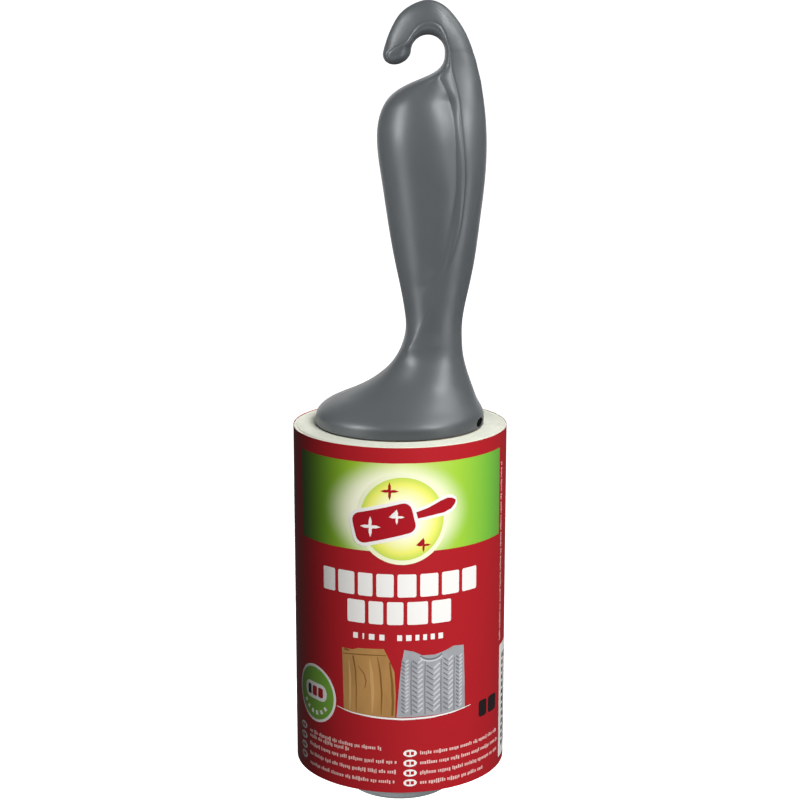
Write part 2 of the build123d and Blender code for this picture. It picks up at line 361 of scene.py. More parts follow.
# The hook turns about its eye: angle, outer radius, crease radius, crown depth, spine's lean, inner round
EYE = (7.75, 105.85)
EYE_RADIUS = 4.7
HOOK = [
    (0, 12.65, 6.2, 4.8, 24, 104), (11, 12.1, 6.0, 4.9, 25, 104), (23, 11.8, 6.0, 4.95, 26, 104),
    (34, 11.8, 6.25, 5.0, 26, 104), (47, 12.1, 6.8, 5.0, 26, 104), (57, 12.6, 7.4, 5.0, 25, 104),
    (67, 13.3, 8.0, 4.95, 23, 104), (80, 14.05, 8.35, 4.85, 20, 104), (90, 14.3, 8.4, 4.8, 19, 104),
    (101, 14.0, 8.1, 4.8, 20, 104), (115, 13.5, 7.5, 4.8, 22, 104), (127, 13.05, 6.95, 4.75, 24, 104),
    (140, 12.4, 6.6, 4.7, 25, 104), (152, 12.05, 6.6, 4.5, 22, 104), (161, 12.0, 7.3, 4.2, 16, 104),
    (171, 12.15, 9.0, 3.95, 10, 108), (180, 12.5, 10.9, 3.75, 5, 116),
]
HOOK_BULB = (0.85, 30, 36)
TIP_LENGTH = 3.45
TIP_DRIFT = 0.75
# Below the lobes the section is one oval, whose crease is only a place on its curve
VIRTUAL_CREASE = 0.116
PURE_LEAN = math.degrees(math.asin(2 * VIRTUAL_CREASE - 1))
# Heights between which the lobes, the bulb, the creases and the groove fade in or out
LOBES_IN = (17.0, 25.0)
BULB_IN = (36, 47)
BULB_OUT = (98.5, 102.5)
CREASE_IN = (20, 26)
GROOVE_IN = (20, 30)
GROOVE_FULL = (45, 75)
# Points across a half section, and the share of a single arc that the bulb's points take
BULB_COLUMNS = 32
FLANK_COLUMNS = 12
BAND_COLUMNS = 12
SPINE_COLUMNS = 56
BULB_SPAN = 0.88
# The rounding of the creases, the fine groove along the spine's crease, the notch of the parting line, and
# how far the band bulges as a share of its width
CREASE_WIDTH = 0.5
CREASE_SOFTNESS = 0.8
CREASE_REACH = 5 * CREASE_WIDTH
CREASE_PROBE = 4
GROOVE_WIDTH = 0.36
GROOVE_DEPTH = 0.11
SEAM_DEPTH = 0.12
SEAM_WIDTH = 0.16
BAND_BULGE = 0.09
# The small hole through the skirt's wall: its place round the axle, its size, its height, and a near-black
# piece inside it that is painted shade for the dark within the hole
NOTCH_ANGLE = -19.0
NOTCH_HALF_WIDTH = 2.9
NOTCH_HALF_HEIGHT = 1.3
NOTCH_RISE = 1.55
NOTCH_CUT = (SKIRT_RADIUS - 1.4, SKIRT_RADIUS + 2)
NOTCH_FLOOR = (SKIRT_RADIUS - 1.05, SKIRT_RADIUS - 0.5)
NOTCH_BITE = 0.05


def graded(count):
    """Fractions from 0 to 1, closer together at both ends."""
    return (1 - np.cos(np.pi * np.arange(count + 1) / count)) / 2


def half_section(left, right, bulb_crease, spine_crease, depth, crown, spine_lean, inner_round,
                 bulb_shape, bulb_share, softness, groove):
    """Points (across, depth) from the left edge over the front to the right edge.

    The spine is one arc from its crease to the right edge. Left of that crease lies either the bulb, with a
    flatter flank past its knee and a narrow band beyond, or one arc down to the left edge; bulb_share blends
    the two. A lean is how far, in degrees, the surface faces to the right of straight ahead.
    """
    spine_lean = math.radians(spine_lean)
    inner_round = math.radians(inner_round)
    crease_y = crown * math.cos(spine_lean)

    single_t = inner_round * np.concatenate([
        BULB_SPAN * graded(BULB_COLUMNS + FLANK_COLUMNS),
        BULB_SPAN + (1 - BULB_SPAN) * graded(BAND_COLUMNS)[1:],
    ])
    single_radius = (spine_crease - left) / (1 - math.cos(inner_round))
    single_x = left + single_radius * (1 - np.cos(single_t))
    single_y = crease_y * np.sin(single_t) / math.sin(inner_round)

    knee_share, knee, end = bulb_shape
    knee, end = math.radians(knee), math.radians(end)
    knee_x = left + knee_share * (bulb_crease - left)
    radius = (knee_x - left) / (1 + math.sin(knee))
    bulb_t = (math.pi / 2 + knee) * graded(BULB_COLUMNS)
    flank_radius = (bulb_crease - knee_x) / (math.sin(end) - math.sin(knee))
    flank_t = knee + (end - knee) * graded(FLANK_COLUMNS)[1:]
    bulb_x = np.concatenate([left + radius * (1 - np.cos(bulb_t)),
                             knee_x + flank_radius * (np.sin(flank_t) - math.sin(knee))])
    bulb_y = depth * np.concatenate([
        np.sin(bulb_t), math.cos(knee) - flank_radius / radius * (math.cos(knee) - np.cos(flank_t))])
    band = graded(BAND_COLUMNS)[1:]
    band_width = spine_crease - bulb_crease
    band_x = bulb_crease + band_width * band
    band_y = bulb_y[-1] + (crease_y - bulb_y[-1]) * band + BAND_BULGE * band_width * np.sin(np.pi * band)
    split_x = np.concatenate([bulb_x, band_x])
    split_y = np.concatenate([bulb_y, band_y])

    inner_x = bulb_share * split_x + (1 - bulb_share) * single_x
    inner_y = bulb_share * split_y + (1 - bulb_share) * single_y
    spine_t = spine_lean + (math.pi / 2 - spine_lean) * graded(SPINE_COLUMNS)[1:]
    spine_reach = (np.sin(spine_t) - math.sin(spine_lean)) / (1 - math.sin(spine_lean))
    across = np.concatenate([inner_x, spine_crease + (right - spine_crease) * spine_reach])
    deep = np.concatenate([inner_y, crown * np.cos(spine_t)])

    along = np.concatenate([[0], np.cumsum(np.hypot(np.diff(across), np.diff(deep)))])
    bulb_end = BULB_COLUMNS + FLANK_COLUMNS
    for index, share in ((bulb_end, bulb_share), (bulb_end + BAND_COLUMNS, 1.0)):
        away = np.abs(along - along[index])
        rise = np.gradient(deep, along)
        sharpness = (rise[index + CREASE_PROBE] - rise[index - CREASE_PROBE]) / 2
        fillet = np.sqrt(away**2 + CREASE_WIDTH**2) - away
        fade = np.clip(1 - away / CREASE_REACH, 0, 1)
        deep = deep + softness * share * sharpness * fillet * fade
    deep = deep - groove * np.exp(-((along - along[bulb_end + BAND_COLUMNS]) / GROOVE_WIDTH) ** 2)
    across = across + SEAM_DEPTH * (np.exp(-(along / SEAM_WIDTH) ** 2)
                                    - np.exp(-((along[-1] - along) / SEAM_WIDTH) ** 2))
    deep[0] = 0
    deep[-1] = 0
    return across, np.maximum(deep, 0)


def grip_rows():
    """Rows of points up the grip, each a half cross-section in a level plane."""
    left, right, depth = splines(OUTLINE)
    crown, spine_lean, inner_round = splines(SPINE)
    bulb_shape = splines(BULB)
    spine_crease = splines(SPINE_CREASE)[0]
    bulb_crease = splines(BULB_CREASE)[0]
    heights = np.concatenate([np.arange(0.55, 3.0, 0.4), np.arange(3.0, 14.0, 0.22),
                              np.arange(14.0, 88.0, 0.5), np.arange(88.0, EYE[1], 0.25), [EYE[1]]])
    rows = []
    for height in heights:
        low, high = max(left(height), -SKIRT_RADIUS), right(height)
        if height < SKIRT_TOP:
            high = min(high, SKIRT_RADIUS)
        lobed = smooth_step(*LOBES_IN, height)
        crease = low + VIRTUAL_CREASE * (high - low)
        crease = (1 - lobed) * crease + lobed * spine_crease(height)
        across, deep = half_section(
            low, high,
            max(bulb_crease(height), low + 0.5),
            crease,
            min(depth(height), SKIRT_RADIUS),
            (1 - lobed) * depth(height) + lobed * crown(height),
            (1 - lobed) * PURE_LEAN + lobed * spine_lean(height),
            (1 - lobed) * (90 + PURE_LEAN) + lobed * inner_round(height),
            [part(height) for part in bulb_shape],
            smooth_step(*BULB_IN, height) * (1 - smooth_step(*BULB_OUT, height)),
            CREASE_SOFTNESS * smooth_step(*CREASE_IN, height),
            GROOVE_DEPTH * smooth_step(*GROOVE_IN, height) * (1 + smooth_step(*GROOVE_FULL, height)) / 2,
        )
        rows.append(np.stack([across, -deep, np.full(len(across), ROLL_HIGH + height)], axis=1))
    return rows


def hook_rows():
    """Rows round the eye, then a rounded tip."""
    outer, crease, crown, spine_lean, inner_round = splines(HOOK)
    rows = []
    for angle in np.arange(2, 180.1, 2):
        across, deep = half_section(
            EYE_RADIUS, outer(angle), EYE_RADIUS + 0.5, crease(angle), crown(angle),
            crown(angle), spine_lean(angle), inner_round(angle), HOOK_BULB, 0.0,
            CREASE_SOFTNESS, GROOVE_DEPTH,
        )
        turn = math.radians(angle)
        x = EYE[0] + across * math.cos(turn)
        z = ROLL_HIGH + EYE[1] + across * math.sin(turn)
        rows.append(np.stack([x, -deep, z], axis=1))
    last = rows[-1]
    centre = (last[0] + last[-1]) / 2
    for lean in np.radians(np.arange(6, 91, 6)):
        row = centre + (last - centre) * round(math.cos(lean), 6)
        row[:, 0] -= TIP_DRIFT * math.sin(lean)
        row[:, 2] -= TIP_LENGTH * math.sin(lean)
        rows.append(row)
    return rows


def skirt_rows(directions):
    """Rows of the hollow under the skirt and of its lower edge, from the axle's hole outwards."""
    stations = [
        (5.06, 8.0), (5.06, 1.5), (8.5, 1.5), (8.6, 1.6), (23.1, 1.6), (23.3, 1.4), (23.3, 0.5),
        (23.45, 0.3), (24.1, 0.3), (24.25, 0.38),
    ]
    level = np.ones(len(directions))
    return [np.column_stack([directions * radius, level * (ROLL_HIGH + height)])
            for radius, height in stations]


def notch_prism(name, reach, spare=0.0):
    """An oval prism between two distances from the axis, in the skirt's wall just above its lower edge."""
    outline = oval(0, NOTCH_RISE, NOTCH_HALF_WIDTH + spare, NOTCH_HALF_HEIGHT + spare, 48)
    points = []
    turn = math.radians(NOTCH_ANGLE)
    for radius in reach:
        for across, up in outline:
            x = radius * math.cos(turn) - across * math.sin(turn)
            y = radius * math.sin(turn) + across * math.cos(turn)
            points.append((x, y, SKIRT_LOW + up))
    count = len(outline)
    faces = [tuple(range(count)), tuple(range(2 * count - 1, count - 1, -1))]
    for i in range(count):
        j = (i + 1) % count
        faces.append((i, i + count, j + count, j))
    prism = make_object(name, points, faces, smooth=False)
    sharpen(prism, 10)
    return prism


def cut(piece, cutter):
    """Subtract a cutter from a piece and remove the cutter."""
    modifier = piece.modifiers.new("cut", "BOOLEAN")
    modifier.operation = "DIFFERENCE"
    modifier.solver = "EXACT"
    modifier.object = cutter
    bpy.context.view_layer.update()
    result = bpy.data.meshes.new_from_object(piece.evaluated_get(bpy.context.evaluated_depsgraph_get()))
    piece.modifiers.clear()
    piece.data = result
    bpy.data.objects.remove(cutter)


def handle_shell(name, side):
    """One closed half of the handle: side is 1 for the front and -1 for the rear."""
    grip = grip_rows()
    rim = grip[0][:, :2] / SKIRT_RADIUS
    rows = skirt_rows(rim) + grip + hook_rows()
    points = np.concatenate(rows)
    points[:, 1] *= side
    columns = len(rows[0])
    faces = grid_faces(len(rows), columns)
    faces.append(tuple(range(columns)))
    left_edge = [r * columns for r in range(len(rows))]
    right_edge = [r * columns + columns - 1 for r in range(len(rows))]
    faces.append(tuple(left_edge + right_edge[::-1]))
    piece = make_object(name, points, faces)
    weld(piece, 2e-7)
    sharpen(piece, 50)
    return piece


# -------- roll
TURNS = 30
PAPER_THICKNESS = 0.2
WRAP_INNER = ROLL_RADIUS - 0.16
WRAP_OUTER = ROLL_RADIUS - 0.14
INK_STEP = 0.02
INK_THICKNESS = 0.01
SEAM_START = 176.0
SEAM_END = 196.0
SEAM_FADE = 6.0


def paper_spiral():
    """All the sheets as one ribbon wound on the core, each turn's edge a hair higher or lower."""
    clearance = 0.01
    pitch = (WRAP_INNER - CORE_RADIUS - PAPER_THICKNESS - 2 * clearance) / TURNS
    steps_per_turn = 120
    points = []
    count = TURNS * steps_per_turn + 1
    for step in range(count):
        turn = step / steps_per_turn
        angle = 2 * math.pi * turn + math.radians(SEAM_START - 90)
        inner = CORE_RADIUS + clearance + pitch * turn
        outer = inner + PAPER_THICKNESS
        wander = 0.045 * (1 + math.sin(2.4 * turn) * math.sin(0.71 * turn + 1))
        # The last turns are a little narrower than the wrap, whose edges stand over them
        if turn > TURNS - 4:
            wander += 0.16
        low, high = ROLL_LOW + wander, ROLL_HIGH - wander
        points += spoke([(inner, low), (outer, low), (outer, high), (inner, high)], angle)
    faces = grid_faces(count, 4, wrap_columns=True)
    faces += [(0, 1, 2, 3), tuple(4 * (count - 1) + i for i in (3, 2, 1, 0))]
    piece = make_object("sheets", points, faces)
    sharpen(piece, 40)
    return piece


def film_wrap():
    """The printed wrap: a thin sleeve with an overlapped seam at the back."""
    lip = 0.12
    low, high = ROLL_LOW + 0.02, ROLL_HIGH - 0.05
    points = []
    for degree in range(360):
        angle = math.radians(degree - 90)
        lift = INK_STEP if SEAM_START <= degree <= SEAM_END else 0.0
        if SEAM_END < degree < SEAM_END + SEAM_FADE:
            lift = INK_STEP * (SEAM_END + SEAM_FADE - degree) / SEAM_FADE
        outer = WRAP_OUTER + lift
        points += spoke([(WRAP_INNER, low), (outer - 0.01, low), (outer, low + lip),
                         (outer, high - lip), (outer - 0.01, high), (WRAP_INNER, high)], angle)
    piece = make_object("wrap", points, grid_faces(360, 6, wrap_rows=True, wrap_columns=True))
    sharpen(piece, 40)
    return piece


def oblong(left, low, right, high, corner=0.0):
    """A rectangle with rounded corners, on the flat print."""
    if corner <= 0:
        return [(left, low), (right, low), (right, high), (left, high)]
    points = []
    for centre, start in (((right - corner, low + corner), -90), ((right - corner, high - corner), 0),
                          ((left + corner, high - corner), 90), ((left + corner, low + corner), 180)):
        points += arc_points(centre, corner, start, start + 90, 5)
    return points


def oval(across, up, half_width, half_height=None, count=64):
    half_height = half_width if half_height is None else half_height
    return [(across + half_width * math.cos(a), up + half_height * math.sin(a))
            for a in np.linspace(0, 2 * math.pi, count, endpoint=False)]


def turned(shape, centre, degrees):
    """Turn a flat shape about a point."""
    c, s = math.cos(math.radians(degrees)), math.sin(math.radians(degrees))
    return [(centre[0] + c * (x - centre[0]) - s * (y - centre[1]),
             centre[1] + s * (x - centre[0]) + c * (y - centre[1])) for x, y in shape]


def stroke(path, widths):
    """A band along a path; widths is one number or one for each point."""
    path = np.asarray(path, float)
    widths = np.broadcast_to(np.asarray(widths, float), len(path))[:, None]
    run = np.gradient(path, axis=0)
    side = np.stack([-run[:, 1], run[:, 0]], axis=1) / np.linalg.norm(run, axis=1)[:, None]
    return [tuple(p) for p in np.concatenate([path + side * widths / 2, (path - side * widths / 2)[::-1]])]


def printed(name, shapes, layer, material):
    """Ink in flat (arc, height) shapes laid on the wrap as one thin closed skin.

    Arc is measured from the middle of the front towards +X, height from the roll's lower end.
    """
    outer = WRAP_OUTER + INK_STEP * layer
    inner = outer - INK_THICKNESS
    flat = bmesh.new()
    for shape in shapes:
        flat.faces.new([flat.verts.new((x, y, 0)) for x, y in shape])
    bmesh.ops.triangulate(flat, faces=flat.faces)
    arcs = [v.co.x for v in flat.verts]
    step = ROLL_RADIUS * math.radians(1.5)
    for line in range(math.ceil(min(arcs) / step), math.floor(max(arcs) / step) + 1):
        at = line * step
        near = [f for f in flat.faces if min(v.co.x for v in f.verts) < at < max(v.co.x for v in f.verts)]
        geometry = near + list({e for f in near for e in f.edges}) + list({v for f in near for v in f.verts})
        bmesh.ops.bisect_plane(flat, geom=geometry, dist=1e-4, plane_co=(at, 0, 0), plane_no=(1, 0, 0))
    flat.verts.index_update()
    corners = [(v.co.x, v.co.y) for v in flat.verts]
    count = len(corners)
    points = []
    for radius in (outer, inner):
        for arc, height in corners:
            angle = arc / ROLL_RADIUS
            points.append((radius * math.sin(angle), -radius * math.cos(angle), ROLL_LOW + height))
    faces = []
    for face in flat.faces:
        loop = [v.index for v in face.verts]
        faces.append(tuple(loop))
        faces.append(tuple(i + count for i in reversed(loop)))
    for edge in flat.edges:
        if len(edge.link_faces) == 1:
            loop = [v.index for v in edge.link_faces[0].verts]
            a, b = (v.index for v in edge.verts)
            if loop[(loop.index(a) + 1) % len(loop)] != b:
                a, b = b, a
            faces.append((b, a, a + count, b + count))
    flat.free()
    piece = make_object(name, points, faces)
    sharpen(piece, 40)
    return dress(piece, material)


# -------- printed artwork
# Shapes are (arc, height) in millimetres; the panel's ends and the glow's reach are in metres
PANEL = (-34.8, 71.8, 36.0, 97.2)
PANEL_ENDS = (-0.0281, 0.0285)
GLOW_REACH = (0.0115, 0.021)
GLOW_SQUEEZE = (1.0, 0.0, 1.25)
EMBLEM = (0.6, 81.3)
EMBLEM_RADIUS = 13.2
EMBLEM_RIM = 1.3


def letter_blocks(left, right, low, height, widths, gap, corner):
    """A row of plain blocks that stands for a word."""
    unit = (right - left - gap * (len(widths) - 1)) / sum(widths)
    shapes = []
    at = left
    for width in widths:
        shapes.append(oblong(at, low, at + width * unit, low + height, corner))
        at += width * unit + gap
    return shapes


def small_print(left, right, low, height, seed):
    """A line of small uneven blocks in word-like groups that stands for a line of small print."""
    pick = np.random.default_rng(seed)
    shapes = []
    at = left
    while at < right:
        for _ in range(int(pick.integers(3, 9))):
            width = float(pick.uniform(0.36, 0.66)) * height
            if at + width > right:
                return shapes
            tall = float(pick.choice([0.0, 0.0, 0.0, 0.38])) * height
            drop = float(pick.choice([0.0, 0.0, 0.0, 0.0, 0.3])) * height
            shapes.append(oblong(at, low - drop, at + width, low + height + tall))
            at += width + 0.28 * height
        at += 0.6 * height
    return shapes


def upright(shapes, across, low):
    """Stand a line of print on its side, reading upwards."""
    return [[(across - y, low + x) for x, y in shape] for shape in shapes]


def star(across, up, reach, waist=0.16):
    """A four-pointed sparkle."""
    points = []
    for quarter in range(4):
        start = math.radians(90 * quarter)
        for bend in np.linspace(0, 1, 7)[:-1]:
            turn = start + bend * math.pi / 2
            radius = reach * (waist + (1 - waist) * abs(2 * bend - 1) ** 1.7)
            points.append((across + radius * math.cos(turn), up + radius * math.sin(turn)))
    return points


def panel_ink_and_painted_shade():
    """Green panel: darker at the left edge, which is painted shade, then lime, a pale glow round the emblem
    and green, which are print.
    """
    shader = Shader("panel_ink_and_painted_shade")
    split = shader.node("ShaderNodeSeparateXYZ")
    shader.join(shader.place(), split.inputs["Vector"])
    across = shader.remap(split.outputs["X"], PANEL_ENDS)
    # The dark stops at the left end of this ramp are painted shade, where the roll turns away from the
    # light; the other stops are the print's own colours.
    base = shader.ramp(across, [
        (0.0, srgb(58, 92, 20)), (0.12, srgb(104, 148, 34)), (0.27, srgb(150, 190, 45)),
        (0.5, srgb(205, 222, 120)), (0.78, srgb(160, 205, 60)), (0.93, srgb(120, 188, 62)),
        (1.0, srgb(104, 172, 66)),
    ])
    centre = (EMBLEM[0] - 1.5, -ROLL_RADIUS, ROLL_LOW + EMBLEM[1] + 1.5)
    offset = shader.vector("SUBTRACT", shader.place(), [v * MM for v in centre])["Vector"]
    squeezed = shader.vector("MULTIPLY", offset, GLOW_SQUEEZE)["Vector"]
    distance = shader.vector("LENGTH", squeezed)["Value"]
    glow = shader.remap(distance, GLOW_REACH, (1.0, 0.0), "SMOOTHSTEP")
    # Sockets 6 and 7 and output 2 of a mix node are the ones for colours
    mix = shader.node("ShaderNodeMix")
    mix.data_type = "RGBA"
    shader.join(glow, mix.inputs["Factor"])
    shader.join(base, mix.inputs[6])
    mix.inputs[7].default_value = (*srgb(250, 250, 222), 1)
    shader.join(mix.outputs[2], shader.surface.inputs["Base Color"])
    shader.gloss(shader.noise(30, 3), PRINT_ROUGH - 0.02, PRINT_ROUGH + 0.04)
    return shader.material


def emblem_ink():
    """The emblem's face: white in the middle, pale yellow towards its ring."""
    shader = Shader("emblem_ink")
    centre = (EMBLEM[0], -ROLL_RADIUS, ROLL_LOW + EMBLEM[1])
    distance = shader.vector("DISTANCE", shader.place(), [v * MM for v in centre])["Value"]
    shader.paint(shader.remap(distance, (0.0, EMBLEM_RADIUS * MM)), [
        (0.0, srgb(250, 250, 235)), (0.45, srgb(250, 250, 205)), (0.75, srgb(236, 236, 110)),
        (0.9, srgb(196, 218, 84)),
    ])
    shader.set("Roughness", PRINT_ROUGH)
    return shader.material


def garment_ink(name, colour, scale, stretch, contrast):
    """A printed picture of cloth: soft folds of shade over one colour."""
    shader = Shader(name)
    folds = shader.noise(scale, 4, stretch)
    stops = [(0.3, shade(colour, 1 - contrast)), (0.5, colour), (0.72, shade(colour, 1 + contrast))]
    shader.paint(folds, stops)
    shader.set("Roughness", PRINT_ROUGH)
    return shader.material


def print_emblem(white, red):
    """A generic roundel with a roller pictogram and sparkles."""
    across, up = EMBLEM
    lean = 14
    neck = across + 4.3
    grip_path = [(neck, up), (across + 8, up), (across + 12, up + 0.2), (across + 14.4, up + 0.4),
                 (across + 15.8, up + 0.5), (across + 16.6, up + 0.5)]
    roll_back = oblong(across - 15.2, up - 5.4, neck, up + 5.4, 3.2)
    roll = oblong(across - 14.2, up - 4.4, neck - 1.0, up + 4.4, 2.3)
    grip_back = stroke([(neck - 0.6, up)] + grip_path[1:], [3.6, 4.2, 5.4, 5.2, 3.8, 1.4])
    inner_path = [(x - 0.08 * i, y) for i, (x, y) in enumerate(grip_path)]
    grip = stroke(inner_path, [1.9, 2.4, 3.6, 3.4, 2.2, 0.5])
    stars = [star(across - 3.5, up + 8.0, 2.6), star(across + 6.0, up - 7.6, 2.1)]
    sparkles = [star(across - 9.0, up - 2.4, 3.0), star(across - 1.5, up + 0.6, 2.2)]
    return [
        printed("emblem_rim", [oval(across, up, EMBLEM_RADIUS)], 2, ink("rim_ink", (238, 242, 206))),
        printed("emblem_face", [oval(across, up, EMBLEM_RADIUS - EMBLEM_RIM)], 3, emblem_ink()),
        printed("emblem_back", [turned(s, EMBLEM, lean) for s in (roll_back, grip_back)], 4, white),
        printed("emblem_roller", [turned(s, EMBLEM, lean) for s in (roll, grip)] + stars, 5, red),
        printed("emblem_sparkle", sparkles, 6, white),
    ]


def print_headings(white):
    """Blocks that stand for the heading, its second row and the line under it."""
    shapes = letter_blocks(-24.0, 24.0, 58.6, 6.7, [4.6, 5.6, 4.6, 5.2, 5.6, 5.6, 5.8, 5.6], 1.1, 0.5)
    shapes += letter_blocks(-15.5, 15.0, 50.5, 6.7, [5.4, 4.2, 4.6, 5.9, 5.9], 1.1, 0.5)
    shapes += letter_blocks(-13.7, -4.4, 45.8, 1.7, [1.5, 0.5, 1.7, 1.5], 1.4, 0.1)
    shapes += letter_blocks(-0.8, 12.5, 45.8, 1.7, [1.5, 1.7, 1.2, 1.2, 1.3, 1.5], 1.1, 0.1)
    return printed("headings", shapes, 1, white)


def print_garments(white):
    """Pictures of folded trousers and a cable-knit sweater over a thin curved line."""
    tan, grey = (176, 132, 78), (158, 160, 164)
    trousers = [(-16.9, 23.3), (-1.4, 22.9), (-1.2, 30.0), (-1.6, 36.6), (-3.2, 40.4), (-4.6, 43.3),
                (-12.0, 42.9), (-14.2, 42.2), (-17.4, 42.3)]
    sweater = [(-1.0, 22.9), (20.0, 23.3), (19.8, 33.0), (19.4, 42.6), (16.0, 43.0), (13.2, 42.0),
               (10.0, 41.2), (6.4, 41.3), (3.8, 42.6), (1.2, 43.1), (0.4, 39.0), (-0.2, 33.0)]
    pieces = [printed("trousers", [trousers], 1, garment_ink("tan_ink", srgb(*tan), 170, (1, 1, 0.4), 0.13)),
              printed("sweater", [sweater], 1, garment_ink("wool_ink", srgb(*grey), 260, (1, 1, 1), 0.1))]
    folds = [
        stroke([(-17.0, 40.6), (-13.6, 40.9), (-9.0, 41.2), (-3.9, 41.4)], [0.25, 0.3, 0.3, 0.2]),
        stroke([(-13.8, 40.4), (-13.0, 36.0), (-12.8, 30.0), (-12.9, 23.6)], [0.5, 0.35, 0.3, 0.2]),
        stroke([(-12.2, 37.6), (-10.4, 35.4), (-9.8, 33.4), (-10.2, 31.0)], [0.15, 0.3, 0.3, 0.15]),
        stroke([(-6.4, 40.8), (-5.6, 36.0), (-5.2, 30.0), (-5.4, 23.4)], [0.2, 0.45, 0.5, 0.2]),
        stroke([(-2.9, 39.4), (-2.2, 33.0), (-2.0, 27.0), (-2.2, 23.4)], [0.4, 0.7, 0.7, 0.6]),
        stroke([(-16.6, 42.0), (-15.8, 41.9), (-15.0, 41.8)], [0.5, 0.6, 0.4]),
    ]
    pieces.append(printed("trouser_folds", folds, 2, ink("fold_ink", (128, 88, 44))))
    lights = [stroke([(-8.8, 40.2), (-8.2, 36.0), (-7.8, 30.0), (-8.0, 24.0)], [0.2, 0.9, 1.0, 0.3]),
              stroke([(-15.2, 38.8), (-14.8, 34.0), (-14.8, 28.0), (-15.0, 24.0)], [0.2, 0.7, 0.7, 0.3])]
    pieces.append(printed("trouser_lights", lights, 2, ink("fold_light_ink", (198, 156, 102))))
    dark, light = [], []
    for across, reach in ((1.4, 1.0), (5.0, 1.5), (9.6, 2.0), (14.2, 1.5), (17.8, 1.0)):
        top = 38.4 if reach == 2.0 else 40.2
        rows = int((top - 24.2) / (1.1 * reach ** 0.5))
        for up in np.linspace(24.2, top, rows, endpoint=False):
            rise = 0.75 * reach
            dark.append(stroke([(across - reach, up + rise), (across - 0.12, up)], 0.36))
            light.append(stroke([(across + 0.12, up + 0.3), (across + reach, up + 0.3 + rise)], 0.42))
    for across in (3.2, 7.2, 12.0, 16.2):
        dark.append(stroke([(across, 23.6), (across - 0.1, 32.0), (across, 39.6)], [0.3, 0.3, 0.2]))
    turns = np.radians(np.linspace(200, 340, 13))
    neck = [(9.0 + 3.4 * math.cos(a), 41.9 + 1.9 * math.sin(a)) for a in turns]
    dark.append(stroke(neck, 0.5))
    light.append(stroke([(x, y - 0.55) for x, y in neck], 0.45))
    pieces.append(printed("knit_shadows", dark, 2, ink("knit_shadow_ink", (112, 114, 120))))
    pieces.append(printed("knit_lights", light, 3, ink("knit_light_ink", (200, 202, 206))))
    curve = [(-19.4, 24.2), (-14.0, 23.2), (-7.0, 22.7), (1.0, 22.4),
             (9.0, 22.6), (16.0, 23.1), (22.1, 23.9)]
    ground = stroke(curve, [0.15, 0.35, 0.5, 0.55, 0.5, 0.35, 0.15])
    pieces.append(printed("ground_line", [ground], 3, white))
    return pieces


def print_badge(white, red, black):
    """A round green badge with a pill and blocks that stand for a count of sheets."""
    across, up = -28.4, 25.7
    tick = [(across - 6.5, up - 0.55), (across - 5.3, up - 0.45),
            (across - 5.3, up + 0.45), (across - 6.5, up + 0.55)]
    ticks = [turned(tick, (across, up), 35 + 21 * i) for i in range(6)]
    pill = oblong(across - 5.0, up - 1.9, across + 5.2, up + 3.2, 2.3)
    count = letter_blocks(across - 1.2, across + 3.6, up - 0.8, 2.9, [2, 2], 0.6, 0.4)
    return [
        printed("badge_edge", [oval(across, up, 8.7)], 1, white),
        printed("badge_face", [oval(across, up, 7.9)], 2, ink("badge_ink", (118, 168, 62))),
        printed("badge_pill", [pill] + ticks, 3, white),
        printed("badge_sheet", [oblong(across - 3.6, up - 0.8, across - 1.9, up + 2.1, 0.2)], 4, black),
        printed("badge_count", count, 4, red),
    ]


def print_small_lines(white, red):
    """The small print at the foot of the front, with an oval before each language."""
    ovals, codes, lines = [], [], []
    for across, heights in ((-35.2, (13.7, 10.6, 7.5, 4.6)), (2.9, (12.0, 9.0, 6.0, 3.0))):
        for up in heights:
            ovals.append(oval(across, up, 1.95, 1.1, 32))
            codes += letter_blocks(across - 1.1, across + 1.1, up - 0.5, 1.0, [1, 1], 0.35, 0)
    for row, (right, up) in enumerate([(-5.2, 12.9), (-15.1, 11.4), (-0.8, 8.9), (-0.8, 5.9), (-1.4, 2.9)]):
        lines += small_print(-31.5, right, up, 0.8, 11 + row)
    for row, (right, up) in enumerate([(36.4, 11.5), (36.4, 8.5), (36.4, 5.5), (28.0, 2.5)]):
        lines += small_print(5.8, right, up, 0.8, 31 + row)
    lines += upright(small_print(0, 54, 0, 0.8, 51), 38.4, 39.0)
    return [printed("language_ovals", ovals, 1, white), printed("language_codes", codes, 2, red),
            printed("small_print", lines, 1, ink("soft_white_ink", (226, 190, 184)))]


def print_barcode(white, black):
    """White panel with bars and a column of blocks beside them."""
    pick = np.random.default_rng(7)
    bars = []
    up = 5.0
    while up < 34.0:
        thick = float(pick.choice([0.33, 0.33, 0.66, 0.99]))
        bars.append(oblong(43.6, up, 59.5, up + thick))
        up += thick + float(pick.choice([0.33, 0.33, 0.66, 0.99]))
    digits = letter_blocks(5.0, 34.0, 0, 1.9, [1] * 13, 0.8, 0.2)
    return [printed("barcode_panel", [oblong(37.8, 2.1, 62.0, 37.2, 0.6)], 1, white),
            printed("barcode", bars + upright(digits, 42.2, 0), 2, black)]


def print_mark(black):
    """Two plain dark blocks in the lower right."""
    return printed("dark_blocks", letter_blocks(25.6, 34.8, 18.9, 5.0, [1, 1.25], 0.8, 0.9), 1, black)


def paragraph(left, right, top, rows, indent, seed):
    """Lines of small print whose right ends step in again and again, by each indent in turn."""
    lines = []
    for row in range(rows):
        lines += small_print(left, right - indent[row % len(indent)], top - 2.6 * row, 1.0, seed + row)
    return lines


